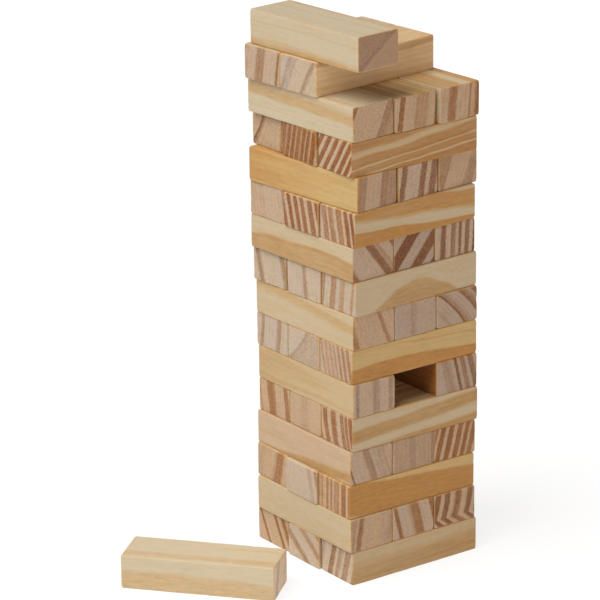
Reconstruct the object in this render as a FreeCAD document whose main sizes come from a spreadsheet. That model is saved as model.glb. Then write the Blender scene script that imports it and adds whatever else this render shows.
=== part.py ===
import FreeCAD, Part
import Sketcher
import math
import os
from collections import namedtuple

# A wooden tumbling-tower game of 45 equal blocks, part way through a game.
#
# The origin is the centre of the tower's foot, on the table, and +Z is up. Lengths are in
# millimetres and angles in degrees. Blocks of the odd courses (1, 3, 5, ...) lie along Y and
# show their ends on the -Y and +Y sides of the tower. Blocks of the even courses lie along X.

DIMENSIONS = {
    "BlockLength": 75.0,
    "BlockWidth": 24.8,
    "BlockHeight": 16.7,
    "EdgeRadius": 0.7,
}

# One block of a course: its place; how far it has crept sideways from that place, towards +X
# in an odd course and +Y in an even one; and how far it has been pushed along its own length,
# towards +Y in an odd course and +X in an even one.
Block = namedtuple("Block", "place crept pushed")

# One course: how far play has shifted it along X and Y, its turn about +Z, and its blocks.
Course = namedtuple("Course", "shift_x shift_y turn blocks")


def course(shift_x, shift_y, turn, **places):
    blocks = [Block(place, *nudge) for place, nudge in places.items() if nudge is not None]
    return Course(shift_x, shift_y, turn, blocks)


def odd_course(shift_x, shift_y, turn, left=(0, 0), middle=(0, 0), right=(0, 0)):
    return course(shift_x, shift_y, turn, left=left, middle=middle, right=right)


def even_course(shift_x, shift_y, turn, near=(0, 0), middle=(0, 0), far=(0, 0)):
    return course(shift_x, shift_y, turn, near=near, middle=middle, far=far)


# The courses from the bottom up. None marks a place with no block in it.
COURSES = [
    odd_course(1.1, -0.6, -1.8, left=(-1.0, 0.3), middle=(0.0, -0.7), right=(0.2, 0.5)),
    even_course(1.4, -1.3, -1.6, far=(0.1, 0.0)),
    odd_course(0.5, -0.6, -2.0, middle=(0.0, -1.4), right=(0.0, -0.4)),
    even_course(0.2, 0.0, -1.9, far=(-0.2, 0.0)),
    odd_course(0.3, 1.1, -1.9),
    even_course(0.3, 1.1, -1.3, middle=None, far=(-0.6, 0.0)),
    odd_course(-0.4, 0.8, -1.3),
    even_course(-0.3, 0.8, -0.6),
    odd_course(-0.8, 0.3, 1.1, left=(-1.0, 0.5), right=(0.3, 0.0)),
    even_course(-1.3, -0.7, 1.4, far=(0.2, 0.3)),
    odd_course(-0.7, -0.9, 1.9, left=(-0.4, 0.0), middle=(0.0, -0.8), right=(0.3, 0.0)),
    even_course(-1.1, -0.5, 4.2, near=(0.0, -0.9), middle=(0.5, 0.0), far=(0.6, 0.5)),
    odd_course(-0.9, 0.6, -0.5, left=(-0.5, 0.2), middle=(-0.2, -1.2)),
    even_course(-0.8, -0.2, 2.4, near=(-0.5, -1.3), middle=(-0.5, 0.0), far=(0.1, 1.8)),
    odd_course(-1.8, -2.5, 3.9, middle=(-0.2, 0.0), right=None),
]

# Which way each place lies from the middle of its course.
SIDES = {"left": -1, "near": -1, "middle": 0, "right": 1, "far": 1}

# Two blocks lie alone: one starts the top course, and one, drawn out of the tower, is on the
# table in front of it. Each has a centre in X and Y, and the angle of its length from +X.
TOP_BLOCK = {"x": 2.1, "y": -25.8, "angle": 3.4}
LOOSE_BLOCK = {"x": -8.3, "y": -92.0, "angle": 38.4}

doc = FreeCAD.newDocument("TumblingTower")


def make_sheet():
    sheet = doc.addObject("Spreadsheet::Sheet", "Dimensions")
    for row, (alias, value) in enumerate(DIMENSIONS.items(), 1):
        sheet.set(f"A{row}", alias)
        sheet.set(f"B{row}", str(value))
        sheet.setAlias(f"B{row}", alias)
    doc.recompute()
    return sheet


def origin_plane(body, role):
    return next(plane for plane in body.Origin.OriginFeatures if plane.Role == role)


def draw_outline(body):
    """Sketch the block's plan: a rectangle centred on the body's origin, its length along X."""
    sketch = body.newObject("Sketcher::SketchObject", body.Name + "_plan")
    sketch.AttachmentSupport = (origin_plane(body, "XY_Plane"), "")
    sketch.MapMode = "FlatFace"
    half_length = DIMENSIONS["BlockLength"] / 2
    half_width = DIMENSIONS["BlockWidth"] / 2
    signs = [(-1, -1), (1, -1), (1, 1), (-1, 1)]
    corners = [FreeCAD.Vector(sx * half_length, sy * half_width, 0) for sx, sy in signs]
    sides = [Part.LineSegment(corners[i], corners[(i + 1) % 4]) for i in range(4)]
    bottom, right, top, left = sketch.addGeometry(sides, False)
    start, end, origin = 1, 2, (-1, 1)
    for side, following in ((bottom, right), (right, top), (top, left), (left, bottom)):
        sketch.addConstraint(Sketcher.Constraint("Coincident", side, end, following, start))
    for side in (bottom, top):
        sketch.addConstraint(Sketcher.Constraint("Horizontal", side))
    for side in (right, left):
        sketch.addConstraint(Sketcher.Constraint("Vertical", side))
    sketch.addConstraint(Sketcher.Constraint("Symmetric", bottom, start, top, start, *origin))
    sizes = (("DistanceX", bottom, "BlockLength"), ("DistanceY", right, "BlockWidth"))
    for direction, side, alias in sizes:
        size = Sketcher.Constraint(direction, side, start, side, end, DIMENSIONS[alias])
        sketch.renameConstraint(sketch.addConstraint(size), alias)
        sketch.setExpression(f"Constraints.{alias}", f"Dimensions.{alias}")
    return sketch


def make_block(name, number, x, y, angle):
    """One block of course `number`: its plan padded up to its height, its edges rounded over."""
    body = doc.addObject("PartDesign::Body", name)
    body.Label = name
    pad = body.newObject("PartDesign::Pad", name + "_pad")
    pad.Profile = draw_outline(body)
    pad.setExpression("Length", "Dimensions.BlockHeight")
    rounded = body.newObject("PartDesign::Fillet", name + "_edges")
    rounded.Base = (pad, [""])
    rounded.UseAllEdges = True
    rounded.setExpression("Radius", "Dimensions.EdgeRadius")
    body.Tip = rounded
    z = (number - 1) * DIMENSIONS["BlockHeight"]
    upright = FreeCAD.Vector(0, 0, 1)
    body.Placement = FreeCAD.Placement(
        FreeCAD.Vector(x, y, z), FreeCAD.Rotation(upright, angle)
    )
    return body


def block_centre(number, row, block):
    """The centre of a block in its course, in X and Y."""
    pitch = (DIMENSIONS["BlockLength"] - DIMENSIONS["BlockWidth"]) / 2
    across = SIDES[block.place] * pitch + block.crept
    offset = (across, block.pushed) if number % 2 else (block.pushed, across)
    turn = math.radians(row.turn)
    x = row.shift_x + math.cos(turn) * offset[0] - math.sin(turn) * offset[1]
    y = row.shift_y + math.sin(turn) * offset[0] + math.cos(turn) * offset[1]
    return x, y


def make_course(number, row):
    """The blocks of one course. Those of an odd course stand at a right angle to X."""
    angle = row.turn + (90 if number % 2 else 0)
    bodies = []
    for block in row.blocks:
        x, y = block_centre(number, row, block)
        name = f"course_{number:02d}_{block.place}"
        bodies.append(make_block(name, number, x, y, angle))
    return bodies


def check(bodies):
    """Stop before anything is written if a feature failed or a block isn't one valid solid."""
    for item in doc.Objects:
        if "Invalid" in item.State or "Error" in item.State:
            raise RuntimeError(f"{item.Name} failed: {item.State}")
    for body in bodies:
        shape = body.Shape
        if shape.isNull() or not shape.isValid() or len(shape.Solids) != 1:
            raise RuntimeError(f"{body.Label} is not one valid solid")


make_sheet()
blocks = []
for number, row in enumerate(COURSES, 1):
    blocks += make_course(number, row)
blocks.append(make_block("course_16_top", len(COURSES) + 1, **TOP_BLOCK))
blocks.append(make_block("loose_block", 1, **LOOSE_BLOCK))
doc.recompute()
check(blocks)

os.makedirs("parts", exist_ok=True)
for body in blocks:
    body.Shape.exportStep(f"parts/{body.Label}.step")
print(f"{len(blocks)} blocks written")
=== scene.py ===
import math
from collections import namedtuple

import bpy
import numpy as np
from mathutils import Matrix, Vector, noise


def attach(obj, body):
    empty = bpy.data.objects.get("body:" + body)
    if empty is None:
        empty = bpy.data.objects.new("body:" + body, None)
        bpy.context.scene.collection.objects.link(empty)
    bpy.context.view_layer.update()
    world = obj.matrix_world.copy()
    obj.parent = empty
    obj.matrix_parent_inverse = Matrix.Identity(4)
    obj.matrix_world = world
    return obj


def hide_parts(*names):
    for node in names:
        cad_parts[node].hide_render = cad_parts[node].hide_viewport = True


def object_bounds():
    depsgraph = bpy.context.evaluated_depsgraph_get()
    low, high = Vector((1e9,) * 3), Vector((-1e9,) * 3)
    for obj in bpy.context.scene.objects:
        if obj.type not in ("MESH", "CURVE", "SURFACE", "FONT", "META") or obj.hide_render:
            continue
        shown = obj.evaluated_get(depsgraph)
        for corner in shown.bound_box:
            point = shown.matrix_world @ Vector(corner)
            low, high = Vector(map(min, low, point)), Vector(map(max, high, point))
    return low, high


# The looks of a wooden tumbling tower. Each block of the frame is replaced by a block of pine
# with worn edges, and the growth rings of each block are drawn by its own material.
#
# A block's own measures are in millimetres, and so are the places in its material. Scene
# objects are in metres, like the frame. Angles are in degrees.

MM = 0.001
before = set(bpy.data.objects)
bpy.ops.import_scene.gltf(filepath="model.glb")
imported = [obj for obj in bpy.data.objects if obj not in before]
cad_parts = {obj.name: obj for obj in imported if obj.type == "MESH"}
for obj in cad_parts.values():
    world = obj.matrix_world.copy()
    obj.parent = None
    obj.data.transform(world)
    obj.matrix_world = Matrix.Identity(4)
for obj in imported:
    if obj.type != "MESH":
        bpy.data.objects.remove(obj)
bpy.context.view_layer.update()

# ---------------------------------------------------------------------------------- the wood

# Colours as sRGB, 0 to 255. A ring is pale where it grew in spring and dark where it grew late
# in the summer. Sawn ends are greyer and darker than the long faces. A block is given a pale and
# a dark colour for its ends, and another pair for its faces.
END_PALE = {
    # Painted light: this pale is lighter than the wood, to make up for light that the scene's
    # lamps don't bring to the loose block's end.
    "bright": (246, 222, 195),
    "pale": (206, 184, 160),
    "beige": (203, 175, 149),
    "tan": (205, 172, 138),
    "grey": (191, 166, 143),
    "dun": (189, 153, 120),
}
END_DARK = {
    "fawn": (177, 147, 120),
    "mauve": (156, 124, 101),
    "russet": (161, 111, 70),
    "brown": (145, 101, 67),
    "rust": (142, 83, 43),
    "umber": (134, 88, 58),
}
FACE_PALE = {
    # Painted light: this pale is lighter than the wood, to make up for the shade that falls under
    # the top block on the middle block of course 15.
    "bright": (240, 206, 160),
    "milk": (221, 204, 172),
    "cream": (212, 194, 163),
    "straw": (209, 187, 151),
    "blush": (208, 178, 145),
    "wheat": (208, 180, 138),
    "gold": (213, 179, 122),
}
FACE_DARK = {
    "peach": (217, 184, 138),
    "sand": (206, 174, 129),
    "honey": (203, 161, 106),
    "tan": (191, 147, 92),
    "amber": (194, 140, 75),
    "brown": (182, 130, 75),
    "umber": (160, 96, 48),
}

# A dark band of a ring: the place of its middle and its width in mm, how dark it is from 0 to 1,
# and over how many mm its left and right sides fade.
Band = namedtuple("Band", "at wide dark left right", defaults=(0.7, 0.7))

# The wood of one block. The end that faces the viewer is 24.8 mm wide and 16.7 mm high, and its
# bands are placed from left to right, with 0 in the middle. They lean by `lean` degrees, to the
# right at the top if positive, and `fan` is how much more they lean, as a tangent, at the right
# edge. `bend` is how far they bow to the right at the top and bottom edges, in mm. Below the
# height `kink`, the bands turn the other way. The bands run on along the block, and `drift` is
# how far they have moved to the left at its other end.
# `tops` are the bands of the top face, placed like those of the end. Without them the end's
# bands run on over it.
# `streaks` are the bands of the long face that the viewer sees, placed from its middle height
# upwards. They rise by `rise` mm from the shown end to the other, and arch by `arch` mm in
# the middle. `deepen` is how much darker the face is at that other end, from -1 to 1.
# `grit` is how speckled the end is.
WOOD_DEFAULTS = {
    "bands": (), "lean": 0, "fan": 0, "bend": 0, "kink": None, "drift": 1.5, "streaks": (),
    "rise": 0, "arch": 0, "deepen": 0, "tops": (), "grit": 1.0,
}
Wood = namedtuple("Wood", ["end", "face", *WOOD_DEFAULTS], defaults=WOOD_DEFAULTS.values())

WOODS = {
    "course_01_left": Wood(
        "tan russet", "wheat honey", lean=-27,
        bands=[(-6.5, 1.7, 1.1), (5.1, 2.2, 1.1), (11.4, 3.6, 0.9, 0.6, 1.2)],
    ),
    "course_01_middle": Wood(
        "pale russet", "straw honey", lean=-51,
        bands=[(-6.5, 5, 0.6, 2.5, 2.5), (9, 5, 0.5, 2.5, 2.5), (23, 8, 0.7, 2, 1)],
    ),
    "course_01_right": Wood(
        "pale brown", "wheat tan", lean=14,
        bands=[(-11.8, 2, 0.3, 1, 1), (-4, 3.5, 0.75, 0.8, 1.2), (1.3, 3, 0.4, 1, 1),
               (7.1, 4, 0.5, 1, 1), (13.4, 2, 0.7)],
        streaks=[(-4, 12, 0.6, 2, 4), (-5, 2, 0.8, 1.5, 1.5)], rise=2, deepen=0.2,
    ),
    "course_02_near": Wood(
        "tan brown", "straw sand", lean=8,
        bands=[(-11.5, 4, 0.25, 1, 1), (-6.8, 2.8, 0.65, 0.8, 0.8), (11.5, 4, 0.2, 1.5, 0.5)],
        streaks=[(-2, 6, 0.3, 3, 3), (-7, 2, 0.5, 1, 1)], rise=2,
    ),
    "course_02_middle": Wood(
        "beige russet", "straw honey", lean=-14,
        bands=[(-9, 2.1, 1.0), (2.2, 5.4, 0.75, 3, 0.6), (12.4, 2.5, 1.0)],
    ),
    "course_02_far": Wood(
        "tan umber", "wheat honey", lean=15, bend=-0.8, kink=-4.3,
        bands=[(-11.4, 3.2, 0.8), (-5.6, 3.3, 0.75), (1, 4, 0.65, 1.5, 1), (8.2, 3.2, 0.7),
               (13.5, 2, 0.8)],
    ),
    "course_03_left": Wood(
        "tan russet", "straw honey", lean=13,
        bands=[(5.2, 6, 0.7, 3, 1), (-9, 3, 0.15, 1.5, 1.5)],
    ),
    "course_03_middle": Wood(
        "pale mauve", "cream sand", lean=-12,
        bands=[(8, 2.6, 0.3, 1.5, 1.5), (13.2, 2, 1.0)],
    ),
    "course_03_right": Wood(
        "tan rust", "gold amber", lean=1,
        bands=[(-11.6, 1.5, 0.4), (-9.1, 1.3, 0.45), (-5.1, 1.8, 0.45), (-1.9, 1.8, 0.4),
               (2.2, 3.8, 0.35, 1.2, 0.8), (7.6, 3.3, 0.6, 0.6, 0.6), (11.9, 1.3, 0.5)],
        streaks=[(-2, 17, 1.0, 1, 1.5), (-6, 2, 1.0, 1, 1)], rise=-7,
    ),
    "course_04_near": Wood(
        "beige brown", "blush tan", lean=-19,
        bands=[(-0.6, 4, 0.45, 2.5, 1.5), (7, 8, 0.15, 3, 3), (-12.4, 1, 0.9)],
        streaks=[(-7, 3.4, 1.0, 1, 1.2), (2, 3, 0.1, 1.5, 1.5)], rise=-5,
    ),
    "course_04_middle": Wood(
        "tan mauve", "straw honey",
        bands=[(0, 28, 0.3, 1, 1), (-0.5, 3.4, 0.5, 1, 1), (11, 0.9, 0.9), (12.5, 0.9, 0.9)],
    ),
    "course_04_far": Wood(
        "tan rust", "wheat amber", lean=15,
        bands=[(-12.6, 2, 0.5), (-8.7, 2.8, 0.7), (-3.5, 3, 0.7), (1.7, 2.8, 0.65),
               (6.2, 2.8, 0.65), (10.4, 2.6, 0.65)],
    ),
    "course_05_left": Wood(
        "tan russet", "straw honey", lean=-8,
        bands=[(-11.2, 1, 0.6), (-2, 5.8, 0.8, 0.8, 2.5), (10.2, 3.3, 0.8, 0.6, 1)],
    ),
    "course_05_middle": Wood(
        "tan fawn", "wheat honey",
        bands=[(-9, 3, 0.15, 1, 1), (-0.5, 6, 0.4, 3, 3)],
    ),
    "course_05_right": Wood(
        "beige rust", "straw tan", lean=-10, bend=0.8, grit=1.6,
        bands=[(-12.8, 1.2, 0.5), (-8.4, 3.4, 0.6), (-2, 4, 0.6), (4.6, 2.6, 0.55),
               (7.7, 2, 0.6), (11.3, 3.2, 0.7)],
        streaks=[(1.6, 6, 0.8, 1, 1.5), (-8.6, 5, 0.8, 1, 1.5)], rise=5,
    ),
    "course_06_near": Wood(
        "beige mauve", "wheat tan",
        bands=[(-9.6, 2, 0.6), (1.2, 4, 0.5, 1, 1), (9.8, 2.4, 0.6)],
        streaks=[(2, 7, 0.2, 2, 2), (-6, 2, 0.4, 1, 1)], deepen=0.6,
    ),
    "course_06_far": Wood(
        "grey brown", "gold umber", lean=-14,
        bands=[(-5, 5, 0.3, 1.5, 1), (1, 1.7, 1.0), (5, 2.6, 0.6, 0.9, 0.9),
               (10, 3, 0.75)],
        streaks=[(0, 20, 0.8, 1, 1)],
    ),
    "course_07_left": Wood(
        "pale brown", "straw honey", lean=7, bend=-0.4,
        bands=[(-7.5, 2.6, 0.4), (5.4, 3.4, 0.4, 1, 0.7)],
    ),
    "course_07_middle": Wood(
        "pale fawn", "straw honey", lean=42, bend=-1.4,
        bands=[(-2.9, 2.2, 0.8, 0.8, 2.5), (8, 22, 0.45, 1, 1)],
    ),
    "course_07_right": Wood(
        "beige russet", "gold amber", lean=-12,
        bands=[(-9.5, 1.8, 0.35), (-6.3, 1.8, 0.35), (-3.1, 1.8, 0.4), (-0.2, 1.6, 0.4),
               (3.1, 2.2, 0.5), (6.6, 2.2, 0.6), (10.2, 2.4, 0.7)],
        streaks=[(-6.2, 11, 0.95, 1, 1), (-5, 2, 1.1, 1, 1), (6.5, 1.5, 0.3, 1, 1)],
        rise=-3, arch=1.5,
    ),
    "course_08_near": Wood(
        "tan russet", "straw honey", lean=-20, fan=-0.05,
        bands=[(-13.7, 6, 0.6, 0.5, 0.8), (6, 2.4, 0.6, 0.8, 1.4)],
        streaks=[(4.7, 4.6, 0.6, 3, 1), (-3, 1, 0.2)], rise=5,
    ),
    "course_08_middle": Wood(
        "grey mauve", "straw honey",
        bands=[(-1.5, 3.5, 0.3, 1, 1)],
    ),
    "course_08_far": Wood(
        "grey brown", "wheat honey", lean=-43, fan=0.15, bend=-0.8,
        bands=[(-11.5, 1.5, 0.3, 2, 1), (-1.5, 1.8, 0.9, 0.6, 0.8), (0.8, 3, 0.35, 0.6, 3),
               (9.8, 1.8, 0.9, 0.6, 0.8), (12.2, 3, 0.5, 0.6, 3), (17, 3, 0.8)],
    ),
    "course_09_left": Wood(
        "pale brown", "straw honey", lean=-14,
        bands=[(-7.3, 3.4, 0.5, 0.8, 1.2), (11.2, 3.8, 0.5, 1, 0.6)],
    ),
    "course_09_middle": Wood(
        "pale brown", "straw honey", lean=-7,
        bands=[(0.9, 3, 0.4, 1, 1), (-12.6, 1.2, 0.5)],
    ),
    "course_09_right": Wood(
        "pale russet", "straw tan", lean=6,
        bands=[(-11.6, 3, 0.6, 1, 1), (-3.8, 3.8, 0.55, 1, 1), (2.8, 3.4, 0.4, 1, 1),
               (10, 1.8, 0.5)],
        streaks=[(-8, 21, 0.75, 1, 0.8)], rise=-1, arch=22,
    ),
    "course_10_near": Wood(
        "beige brown", "straw tan", lean=-38,
        bands=[(-17, 6, 0.7, 3, 2), (3.8, 4.8, 0.85, 0.5, 1), (8, 4, 0.3, 1, 2), (18.5, 6, 0.7)],
        streaks=[(-4, 12, 0.75, 1, 1), (1, 1, 0.9)], arch=1.5, rise=-1,
    ),
    "course_10_middle": Wood(
        "grey umber", "wheat honey", lean=41, grit=1.5,
        bands=[(-7.4, 8.2, 1.0, 1, 1), (8, 7.2, 0.85, 1, 1.5), (19.5, 5, 0.8)],
    ),
    "course_10_far": Wood(
        "beige umber", "wheat honey", lean=3,
        bands=[(-7.5, 3.3, 0.75), (-1.4, 3, 0.55), (2.9, 1.9, 0.7), (7.4, 2.5, 0.75),
               (12, 1.8, 1.0)],
    ),
    "course_11_left": Wood(
        "beige russet", "straw honey", lean=-10,
        bands=[(-2.8, 1, 0.2), (-8, 9, 0.12, 2, 2), (13.2, 2.6, 0.7)],
    ),
    "course_11_middle": Wood(
        "beige rust", "wheat honey", lean=-13, grit=1.8,
        bands=[(-11.9, 2.3, 0.75), (-7.2, 2.7, 0.75), (-2.4, 2.8, 0.75), (2.4, 2.8, 0.65),
               (7.9, 3.4, 0.65), (13, 2.6, 0.8)],
    ),
    "course_11_right": Wood(
        "beige rust", "straw amber", lean=-10, grit=1.5,
        bands=[(-8.4, 3.2, 0.4), (-3.8, 3.2, 0.45), (1.9, 3.8, 0.45, 1.2, 0.8),
               (7.1, 2.7, 0.8), (10.9, 2, 0.85)],
        streaks=[(5.2, 7.6, 0.85, 2, 1), (-8, 8.6, 1.0, 1, 0.8)], rise=-6.2,
    ),
    "course_12_near": Wood(
        "tan brown", "gold amber", lean=7,
        bands=[(-9.5, 5.5, 0.45, 1.5, 2), (4.5, 4, 0.5, 1, 2), (10.5, 8, 0.35, 2, 1)],
        streaks=[(0, 16, 0.25, 1, 1), (5, 2.5, 0.4, 1.5, 1.5)], deepen=0.6, rise=2,
    ),
    "course_12_middle": Wood(
        "beige umber", "wheat honey", lean=10, grit=1.6,
        bands=[(-9.7, 3.4, 0.7), (2.8, 3.8, 0.65), (9.4, 4.2, 0.65)],
    ),
    "course_12_far": Wood(
        "tan brown", "wheat honey", lean=23,
        bands=[(-12, 11, 0.4, 0.5, 1.2), (9, 6, 0.3, 2, 2)],
    ),
    "course_13_left": Wood(
        "tan brown", "straw honey", lean=19.5, fan=-0.39,
        bands=[(-6.7, 2.2, 1.0, 0.5, 2.8), (11.2, 3.4, 0.6, 0.9, 0.5)],
    ),
    "course_13_middle": Wood(
        "dun rust", "wheat amber", lean=11, grit=1.5,
        bands=[(-11.6, 2.6, 0.6), (-8, 2.6, 0.65), (-4.4, 2.6, 0.7), (-0.8, 2.6, 0.65),
               (2.8, 2.6, 0.7), (6.3, 2.6, 0.7), (10.6, 3.4, 0.85)],
    ),
    "course_13_right": Wood(
        "beige rust", "wheat brown", lean=32, grit=1.8,
        bands=[(-13.8, 2.8, 0.7), (-8.4, 2.9, 0.75), (-2.9, 2.9, 0.75), (2.5, 2.9, 0.8),
               (7.5, 2.9, 0.8), (12.3, 2.8, 0.85), (17, 2.8, 0.85)],
        streaks=[(-10, 7, 0.9, 0.6, 0.6), (-3.8, 3.4, 0.8, 0.6, 0.6),
                 (-0.4, 1.6, 1.0, 0.6, 1), (2.2, 3.4, 0.75, 1, 1.4), (9.4, 5, 0.8, 1.2, 1)],
        rise=5.5,
    ),
    "course_14_near": Wood(
        "tan brown", "cream honey", lean=24, grit=1.8,
        bands=[(-14.2, 2.6, 0.8), (8.5, 6, 0.45, 0.8, 3), (12.5, 3, 0.2, 1, 1)],
        tops=[(-9.9, 0.7, 0.9), (4.5, 0.8, 0.7, 1, 2), (8.5, 3, 0.4, 1.5, 1.5)],
        streaks=[(2.8, 5, 0.65, 1.5, 2.5), (-4, 1.2, 0.2)], rise=3,
    ),
    "course_14_middle": Wood(
        "tan russet", "wheat amber", lean=8,
        bands=[(-8.9, 3, 1.0, 0.6, 0.6), (3.5, 8, 0.35, 1, 2), (12.7, 1.6, 0.8)],
        tops=[(-11, 2, 0.5), (-7.8, 0.8, 1.0), (-2.5, 3.5, 0.8, 1, 1.5), (4, 5, 0.5, 2, 1),
              (9, 1, 1.1), (12, 2, 0.5)],
    ),
    "course_14_far": Wood(
        "tan rust", "straw amber", lean=5,
        bands=[(-4.6, 4.8, 0.5, 1, 1), (6.4, 1.3, 0.35), (11.2, 3.2, 0.6, 1.2, 0.7)],
        tops=[(-9, 5, 0.5, 1, 1), (-5.2, 1, 1.0), (-1.5, 5, 0.6, 1, 1), (9.5, 4.5, 0.8, 1, 1),
              (12, 1, 1.3)],
    ),
    "course_15_left": Wood(
        "beige brown", "straw honey", lean=8,
        bands=[(-1.5, 5.5, 0.5, 1, 1.5), (-11.5, 4, 0.15, 1, 2), (10.5, 1.4, 0.8)],
    ),
    # Its long faces take the "bright" pale, painted light against the shade under the top block,
    # and the wide band of its top darkens the top back towards the wood's own tone.
    "course_15_middle": Wood(
        "pale mauve", "bright tan", lean=27, fan=0.15,
        bands=[(-8.6, 1.4, 0.5), (-6, 5, 0.25, 1, 2), (6.3, 2.8, 0.6, 1.4, 1.4)],
        streaks=[(0, 20, 0.1, 3, 3), (6.5, 3, 0.6, 1, 1)], tops=[(0, 30, 0.4, 1, 1)],
    ),
    "course_16_top": Wood(
        "dun mauve", "cream honey", lean=54,
        bands=[(-15, 26, 0.4, 1, 3), (-2, 5, 0.65, 4, 1.5)],
        streaks=[(-8, 4, 0.8, 1, 3.5), (3, 1.5, 0.15, 1, 1)], rise=1,
        tops=[(11.4, 3, 0.6, 2, 1), (3, 1.5, 0.25, 1, 1)],
    ),
    # Its end takes the "bright" pale: painted light, for light that the lamps don't bring to that
    # end.
    "loose_block": Wood(
        "bright fawn", "milk peach", lean=20,
        bands=[(-6, 5, 0.35, 2, 2), (8, 3, 0.25, 1, 1)],
        streaks=[(-4.5, 10, 0.85, 1, 1.5)], rise=1.5,
        tops=[(-7.5, 5, 0.7, 1.5, 1.5), (6, 2, 0.2, 1, 1)],
    ),
}


# The colours above are those of the lit wood. Under the scene's lamps the wood itself is darker.
WOOD_SHADE = 0.8

# Pale and dark wood are mixed as the fourth roots of their colours, so that half-dark wood stays
# as warm as real wood, where more pigment takes away ever more of the blue.
MIX_ROOT = 4.0


def wood_colour(colour):
    """The root of the linear RGBA of a wood whose lit colour is given as sRGB, 0 to 255."""
    shares = [value / 255 for value in colour]
    bright = [s / 12.92 if s <= 0.04045 else ((s + 0.055) / 1.055) ** 2.4 for s in shares]
    return (*[(WOOD_SHADE * value) ** (1 / MIX_ROOT) for value in bright], 1.0)


# --------------------------------------------------------------------------------- the blocks

# The edges may be rounded within this zone. Its inner lines are at these shares of it.
EDGE_ZONE = 1.5
EDGE_STEPS = (0.0, 0.1, 0.25, 0.45, 0.7)
FACE_STEP = 1.6

EDGE_RADIUS = 0.5
MIN_RADIUS = 0.42
MAX_RADIUS = EDGE_ZONE * 0.9
UNEVENNESS = 0.35
KNOCK_DEPTH = 1.1
CORNER_EXTRA = 0.25

# How much smaller a block is than its place in the frame, in length, width and height.
SHRINKAGE = (0.3, 0.06, 0.0)

Lie = namedtuple("Lie", "centre axes size")


def lie_of(node):
    """Where a block of the frame lies: its centre, its three axes and its three sizes in mm."""
    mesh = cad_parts[node].data
    upright_faces = [face for face in mesh.polygons if abs(face.normal.z) < 0.1]
    side = max(upright_faces, key=lambda face: face.area).normal
    up = Vector((0, 0, 1))
    length_way = side.cross(up).normalized()
    if length_way.x + length_way.y < 0:
        length_way.negate()
    axes = np.array([length_way, up.cross(length_way), up])
    corners = np.array([vertex.co for vertex in mesh.vertices]) @ axes.T
    low, high = corners.min(0), corners.max(0)
    return Lie((low + high) / 2 @ axes, axes, (high - low) / MM)


def grid_lines(half):
    """Places of the mesh's lines along one side of a block, close together near its edges."""
    inner = half - EDGE_ZONE
    count = round(2 * inner / FACE_STEP)
    edge = [half - EDGE_ZONE * step for step in EDGE_STEPS]
    return np.concatenate([[-x for x in edge], np.linspace(-inner, inner, count + 1), edge[::-1]])


def grid_box(size):
    """The points and the four-sided faces of a box whose sides are divided by grid lines."""
    lines = [grid_lines(measure / 2) for measure in size]
    counts = [len(line) for line in lines]
    numbers = {}
    faces = []
    for axis in range(3):
        first, second = (axis + 1) % 3, (axis + 2) % 3
        for end in (0, counts[axis] - 1):
            for i in range(counts[first] - 1):
                for j in range(counts[second] - 1):
                    ring = [(i, j), (i + 1, j), (i + 1, j + 1), (i, j + 1)]
                    face = []
                    for a, b in ring if end else reversed(ring):
                        place = [0, 0, 0]
                        place[axis], place[first], place[second] = end, a, b
                        face.append(numbers.setdefault(tuple(place), len(numbers)))
                    faces.append(face)
    points = [[lines[axis][place[axis]] for axis in range(3)] for place in numbers]
    return np.array(points), faces


def wear(points, size, number):
    """The radius of the edge at each point: uneven, with a knocked place here and there."""
    shift = Vector((number * 17.3, number * 5.1, number * 29.7))
    uneven = [noise.noise(Vector(point) * 0.09 + shift) for point in points]
    knocks = [noise.noise(Vector(point) * 0.31 - shift) for point in points]
    near = (np.abs(points) > np.array(size) / 2 - EDGE_ZONE).sum(1)
    radius = EDGE_RADIUS * (1 + UNEVENNESS * np.array(uneven))
    radius += np.maximum(0, np.array(knocks) - 0.3) * KNOCK_DEPTH
    radius += np.where(near == 3, CORNER_EXTRA, 0)
    return np.clip(radius, MIN_RADIUS, MAX_RADIUS)


def rounded(points, size, radius):
    """The points of a box with its edges rounded over, and which way each of them faces."""
    radius = radius[:, None]
    inner = np.clip(points, radius - np.array(size) / 2, np.array(size) / 2 - radius)
    facing = points - inner
    facing /= np.linalg.norm(facing, axis=1)[:, None]
    return inner + facing * radius, facing


def store(mesh, name, kind, values):
    """Keep a value or a vector for each vertex, for the material to read."""
    attribute = mesh.attributes.new(name, kind, "POINT")
    key = "vector" if kind == "FLOAT_VECTOR" else "value"
    attribute.data.foreach_set(key, np.ascontiguousarray(values, np.float32).ravel())


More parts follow.
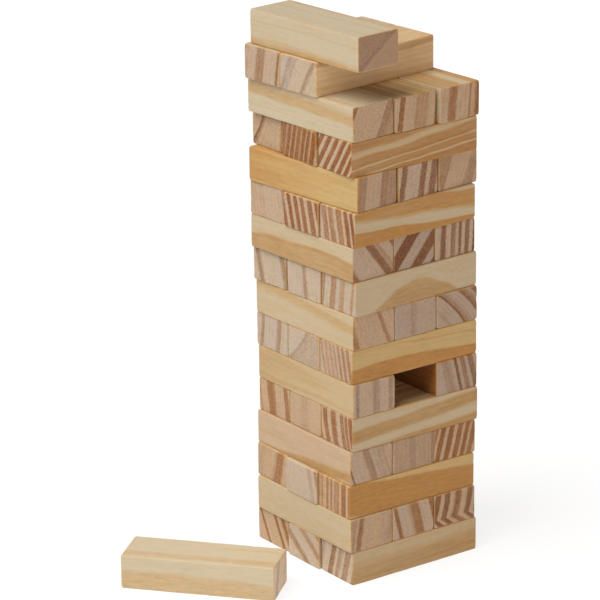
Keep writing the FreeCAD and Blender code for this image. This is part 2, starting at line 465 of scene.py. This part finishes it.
def make_block(node, number):
    """A block of wood in place of a block of the frame."""
    lie = lie_of(node)
    size = lie.size - SHRINKAGE
    points, faces = grid_box(size)
    points, facing = rounded(points, size, wear(points, size, number))
    mesh = bpy.data.meshes.new(node + "_block")
    mesh.from_pydata((lie.centre + points * MM @ lie.axes).tolist(), [], faces)
    mesh.shade_smooth()
    # In odd courses the viewer sees the end at the low side of the length way.
    shows_low_end = abs(lie.axes[0][1]) > abs(lie.axes[0][0]) and node != "loose_block"
    way = 1 if shows_low_end else -1
    half_length = lie.size[0] / 2
    grain = np.stack([half_length + way * points[:, 0], -way * points[:, 1], points[:, 2]], 1)
    store(mesh, "grain", "FLOAT_VECTOR", grain)
    store(mesh, "end_face", "FLOAT", np.clip(2 * facing[:, 0] ** 2 - 1, 0, 1))
    # The edge value marks the rounded edges, where the material paints a warm glow of light.
    store(mesh, "edge", "FLOAT", np.clip(3 * (1 - np.max(facing**2, axis=1)), 0, 1))
    store(mesh, "shown_face", "FLOAT", np.where(facing[:, 1] < 0, facing[:, 1] ** 2, 0))
    store(mesh, "top_face", "FLOAT", np.where(facing[:, 2] > 0, facing[:, 2] ** 2, 0))
    block = bpy.data.objects.new(node + "_block", mesh)
    bpy.context.scene.collection.objects.link(block)
    return block


# ------------------------------------------------------------------------------ the materials

HALF_WIDTH = 12.4
HALF_HEIGHT = 8.35
LENGTH = 75.0

# The width of wood that one colour ramp covers.
RAMP_SPAN = 60.0

# How far the slow wander of the wood moves its rings at the shown end, how much more it moves
# them at the other, and how far it moves the streaks and the bands of a top.
RING_WANDER = 0.8
MORE_RING_WANDER = 4.0
STREAK_WANDER = 6.0
TOP_WANDER = 4.0
RIPPLE_DEPTH = 0.9

KINK_SLOPE = -1.7
FAINT_RING_WIDTH = 2.7


def add(tree, kind, inputs=(), **settings):
    """Add a shader node. Each input is a value or another node's output."""
    made = tree.nodes.new("ShaderNode" + kind)
    for name, value in settings.items():
        setattr(made, name, value)
    for name, value in dict(inputs).items():
        if isinstance(value, bpy.types.NodeSocket):
            tree.links.new(value, made.inputs[name])
        else:
            made.inputs[name].default_value = value
    return made


def maths(tree, operation, *values, clamp=False):
    return add(tree, "Math", enumerate(values), operation=operation, use_clamp=clamp).outputs[0]


def mix_values(tree, share, a, b):
    return add(tree, "Mix", {0: share, 2: a, 3: b}).outputs[0]


def mix_colours(tree, share, a, b, blend="MIX"):
    inputs = {0: share, 6: a, 7: b}
    return add(tree, "Mix", inputs, data_type="RGBA", blend_type=blend).outputs[2]


def noise_of(tree, vector, scales, offset, detail=2.0):
    """Smooth noise of about -0.5 to 0.5, with its own scale per mm along, across and up."""
    placed = add(tree, "VectorMath", {0: vector, 1: scales, 2: offset}, operation="MULTIPLY_ADD")
    inputs = {"Vector": placed.outputs[0], "Scale": 1.0, "Detail": detail}
    return maths(tree, "SUBTRACT", add(tree, "TexNoise", inputs).outputs[0], 0.5)


def darkness(tree, place, bands):
    """How dark the wood is at a place, from a list of bands."""
    bands = [Band(*band) for band in bands]

    def depth(at):
        shades = [0.0]
        for band in bands:
            left = (at - (band.at - band.wide / 2 - band.left / 2)) / band.left
            right = (band.at + band.wide / 2 + band.right / 2 - at) / band.right
            shades.append(band.dark * min(1.0, left, right))
        return max(shades)

    corners = set()
    for band in bands:
        low, high = band.at - band.wide / 2, band.at + band.wide / 2
        corners |= {low - band.left / 2, low + band.left / 2}
        corners |= {high - band.right / 2, high + band.right / 2}
    ramp = add(tree, "ValToRGB")
    ramp.color_ramp.interpolation = "LINEAR"
    stops = ramp.color_ramp.elements
    stops.remove(stops[1])
    stops[0].position = 0.0
    stops[0].color = (0, 0, 0, 1)
    for corner in sorted(corners):
        shade = depth(corner)
        stop = stops.new(corner / RAMP_SPAN + 0.5)
        stop.color = (shade, shade, shade, 1)
    spread = maths(tree, "MULTIPLY_ADD", place, 1 / RAMP_SPAN, 0.5)
    tree.links.new(spread, ramp.inputs[0])
    return add(tree, "SeparateColor", {0: ramp.outputs[0]}).outputs[0]


def pine(name, wood, number):
    """A material of pine whose rings are those of one block."""
    material = bpy.data.materials.new("pine_" + name)
    material.use_nodes = True
    tree = material.node_tree
    shader = tree.nodes["Principled BSDF"]
    grain = add(tree, "Attribute", attribute_name="grain").outputs["Vector"]
    end_face = add(tree, "Attribute", attribute_name="end_face").outputs["Fac"]
    shown_face = add(tree, "Attribute", attribute_name="shown_face").outputs["Fac"]
    along, across, up = add(tree, "SeparateXYZ", {0: grain}).outputs
    offset = (number * 3.7, number * 11.3, number * 7.9)

    wander = noise_of(tree, grain, (0.018, 0.09, 0.09), offset)
    ripple = noise_of(tree, grain, (0.05, 0.8, 0.8), offset, detail=3.0)
    fibre = noise_of(tree, grain, (0.045, 2.4, 2.4), offset, detail=3.0)
    speckle = noise_of(tree, grain, (0.2, 0.95, 0.95), offset, detail=3.0)
    cloud = noise_of(tree, grain, (0.03, 0.2, 0.2), offset, detail=1.0)

    # The ring coordinate: the place across the shown end that the ring at a point comes from.
    lean = math.tan(math.radians(wood.lean))
    slant = maths(tree, "MULTIPLY_ADD", across, wood.fan / HALF_WIDTH, lean)
    bowed = maths(tree, "MULTIPLY", maths(tree, "MULTIPLY", up, up), wood.bend / HALF_HEIGHT**2)
    ring = maths(tree, "SUBTRACT", across, maths(tree, "MULTIPLY", slant, up))
    ring = maths(tree, "SUBTRACT", ring, bowed)
    ring = maths(tree, "MULTIPLY_ADD", along, wood.drift / LENGTH, ring)
    if wood.kink is not None:
        below = maths(tree, "MAXIMUM", maths(tree, "SUBTRACT", wood.kink, up), 0.0)
        ring = maths(tree, "MULTIPLY_ADD", below, KINK_SLOPE, ring)
    freedom = maths(tree, "MULTIPLY_ADD", along, MORE_RING_WANDER / LENGTH, RING_WANDER)
    ring = maths(tree, "ADD", ring, maths(tree, "MULTIPLY", wander, freedom))
    ring = maths(tree, "MULTIPLY_ADD", ripple, RIPPLE_DEPTH, ring)
    dark = darkness(tree, ring, wood.bands)

    # The height on the shown long face that the streak at a point comes from.
    part_way = maths(tree, "MULTIPLY_ADD", along, 1 / LENGTH, -0.5)
    climb = maths(tree, "MULTIPLY", part_way, -wood.rise)
    arch = maths(tree, "MULTIPLY", maths(tree, "MULTIPLY", part_way, part_way), 4.0 * wood.arch)
    streak = maths(tree, "ADD", up, maths(tree, "ADD", climb, arch))
    streak = maths(tree, "MULTIPLY_ADD", wander, STREAK_WANDER, streak)
    streak = maths(tree, "MULTIPLY_ADD", ripple, RIPPLE_DEPTH, streak)
    if wood.streaks:
        streak_dark = darkness(tree, streak, wood.streaks)
        shown_dark = maths(tree, "MULTIPLY_ADD", part_way, wood.deepen, streak_dark)
        dark = mix_values(tree, shown_face, dark, shown_dark)

    if wood.tops:
        top_face = add(tree, "Attribute", attribute_name="top_face").outputs["Fac"]
        placed = maths(tree, "ADD", across, maths(tree, "MULTIPLY", wander, TOP_WANDER))
        dark = mix_values(tree, top_face, dark, darkness(tree, placed, wood.tops))

    # Faint rings everywhere, fibres and slow changes of tone.
    faint_place = mix_values(tree, shown_face, ring, streak)
    turns = maths(tree, "MULTIPLY", faint_place, 2 * math.pi / FAINT_RING_WIDTH)
    dark = maths(tree, "MULTIPLY_ADD", maths(tree, "SINE", turns), 0.06, dark)
    dark = maths(tree, "MULTIPLY_ADD", fibre, mix_values(tree, end_face, 0.3, 0.5), dark)
    cloudy = mix_values(tree, end_face, 0.6, 0.35)
    dark = maths(tree, "MULTIPLY_ADD", cloud, cloudy, dark, clamp=True)

    end_pale, end_dark = wood.end.split()
    face_pale, face_dark = wood.face.split()
    pale_side = mix_colours(
        tree, end_face, wood_colour(FACE_PALE[face_pale]), wood_colour(END_PALE[end_pale])
    )
    dark_side = mix_colours(
        tree, end_face, wood_colour(FACE_DARK[face_dark]), wood_colour(END_DARK[end_dark])
    )
    colour = mix_colours(tree, dark, pale_side, dark_side)
    colour = add(tree, "Gamma", {0: colour, 1: MIX_ROOT}).outputs[0]
    # Between the rings an end is pinkish in one place and yellowish in another.
    ring_only = add(tree, "CombineXYZ", {0: ring}).outputs[0]
    hue = noise_of(tree, ring_only, (0.3, 0.3, 0.3), offset, detail=1.0)
    hue = maths(tree, "MULTIPLY_ADD", hue, 2.5, 0.5, clamp=True)
    tint = mix_colours(tree, hue, (1.02, 1.0, 0.93, 1), (0.96, 0.98, 1.05, 1))
    colour = mix_colours(tree, end_face, colour, tint, blend="MULTIPLY")
    # Painted light: here and there the rounded edges are made more orange and their red is
    # raised. This is a painted warm glow standing in for light bounced into the seams and caught
    # on the rims.
    edge = add(tree, "Attribute", attribute_name="edge").outputs["Fac"]
    glow_patches = maths(tree, "MULTIPLY_ADD", cloud, 3.0, 0.45, clamp=True)
    painted_glow = maths(tree, "MULTIPLY", edge, glow_patches)
    colour = mix_colours(tree, painted_glow, colour, (1.2, 0.89, 0.54, 1), blend="MULTIPLY")
    # Ends are more speckled than faces, and dark wood more than pale.
    coarse = mix_values(tree, end_face, 0.2, 0.45 * wood.grit)
    coarse = maths(tree, "MULTIPLY", coarse, maths(tree, "MULTIPLY_ADD", dark, 1.5, 1.0))
    grit = maths(tree, "MULTIPLY_ADD", speckle, coarse, 1.0)
    colour = add(tree, "VectorMath", {0: colour, 3: grit}, operation="SCALE").outputs[0]
    tree.links.new(colour, shader.inputs["Base Color"])

    rough = mix_values(tree, end_face, 0.55, 0.8)
    tree.links.new(maths(tree, "MULTIPLY_ADD", fibre, 0.15, rough), shader.inputs["Roughness"])
    shader.inputs["Specular IOR Level"].default_value = 0.22
    relief = maths(tree, "MULTIPLY_ADD", dark, 0.4, fibre)
    bump = add(tree, "Bump", {"Strength": 0.35, "Distance": 0.15 * MM, "Height": relief})
    tree.links.new(bump.outputs[0], shader.inputs["Normal"])
    return material


for number, node in enumerate(sorted(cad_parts)):
    block = make_block(node, number)
    block.data.materials.append(pine(node, WOODS[node], number))
    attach(block, node)
    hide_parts(node)

# --------------------------------------------------------------------------------- the stage

TOWER_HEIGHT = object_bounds()[1][2]


def direction(azimuth, elevation):
    """The way to a point seen from the origin. Azimuth 0 is towards -Y, and 90 towards +X."""
    a, e = math.radians(azimuth), math.radians(elevation)
    return Vector((math.sin(a) * math.cos(e), -math.cos(a) * math.cos(e), math.sin(e)))


def make_camera():
    """A long lens. It looks along `back`, reversed, from a place of its own, so that the tower
    stands right of the picture's middle as in the photograph."""
    middle = Vector((0, 0, TOWER_HEIGHT / 2))
    back = direction(52.24, 18.77)
    right = Vector((0, 0, 1)).cross(back).normalized()
    turn = Matrix.Rotation(math.radians(-0.59), 3, back)
    right = turn @ right
    up = back.cross(right)
    camera = bpy.data.objects.new("camera", bpy.data.cameras.new("camera"))
    bpy.context.scene.collection.objects.link(camera)
    camera.data.lens = 208.2
    camera.data.clip_end = 50
    place = middle + direction(51.1, 18.485) * 1.649
    axes = Matrix((right, up, back)).transposed()
    camera.matrix_world = Matrix.Translation(place) @ axes.to_4x4()
    bpy.context.scene.camera = camera


def hang(name, lamp, azimuth, elevation, distance=1.0):
    """Hang a lamp so that it shines from that side on the middle of the tower."""
    way = direction(azimuth, elevation)
    hung = bpy.data.objects.new(name, lamp)
    bpy.context.scene.collection.objects.link(hung)
    place = Vector((0, 0, TOWER_HEIGHT / 2)) + way * distance
    facing = way.to_track_quat("Z", "Y").to_matrix()
    hung.matrix_world = Matrix.Translation(place) @ facing.to_4x4()


def make_key():
    """A very large soft light above, a little to the front."""
    sun = bpy.data.lights.new("key", "SUN")
    sun.energy = 3.4
    sun.color = (1.0, 0.98, 0.94)
    sun.angle = math.radians(50)
    hang("key", sun, -5, 57)


def make_fill():
    """A small warm light, low on the right, which reaches under the top block."""
    panel = bpy.data.lights.new("fill", "AREA")
    panel.size = 0.3
    panel.energy = 2.65
    panel.color = (1.0, 0.8, 0.71)
    hang("fill", panel, 86, 14, distance=1.2)


def make_back():
    """A low white panel behind the tower, which the tops reflect."""
    panel = bpy.data.lights.new("back", "AREA")
    panel.size = 2.0
    panel.energy = 9.0
    hang("back", panel, 231, 22, distance=2.5)


def make_floor():
    """A white floor that mostly glows by itself, so that shadows on it are faint."""
    reach = 8.0
    corners = [(-reach, -reach, 0), (reach, -reach, 0), (reach, reach, 0), (-reach, reach, 0)]
    mesh = bpy.data.meshes.new("floor")
    mesh.from_pydata(corners, [], [(0, 1, 2, 3)])
    floor = bpy.data.objects.new("floor", mesh)
    bpy.context.scene.collection.objects.link(floor)
    white = bpy.data.materials.new("white_floor")
    white.use_nodes = True
    shader = white.node_tree.nodes["Principled BSDF"]
    shader.inputs["Base Color"].default_value = (0.2, 0.2, 0.2, 1)
    shader.inputs["Emission Color"].default_value = (1, 1, 1, 1)
    shader.inputs["Emission Strength"].default_value = 0.83
    shader.inputs["Roughness"].default_value = 0.9
    shader.inputs["Specular IOR Level"].default_value = 0.1
    mesh.materials.append(white)


def make_world():
    world = bpy.data.worlds.new("studio")
    world.use_nodes = True
    world.node_tree.nodes["Background"].inputs["Color"].default_value = (1, 1, 1, 1)
    world.node_tree.nodes["Background"].inputs["Strength"].default_value = 0.12
    bpy.context.scene.world = world


make_camera()
make_floor()
make_world()
make_key()
make_fill()
make_back()
bpy.context.scene.view_settings.view_transform = "Standard"
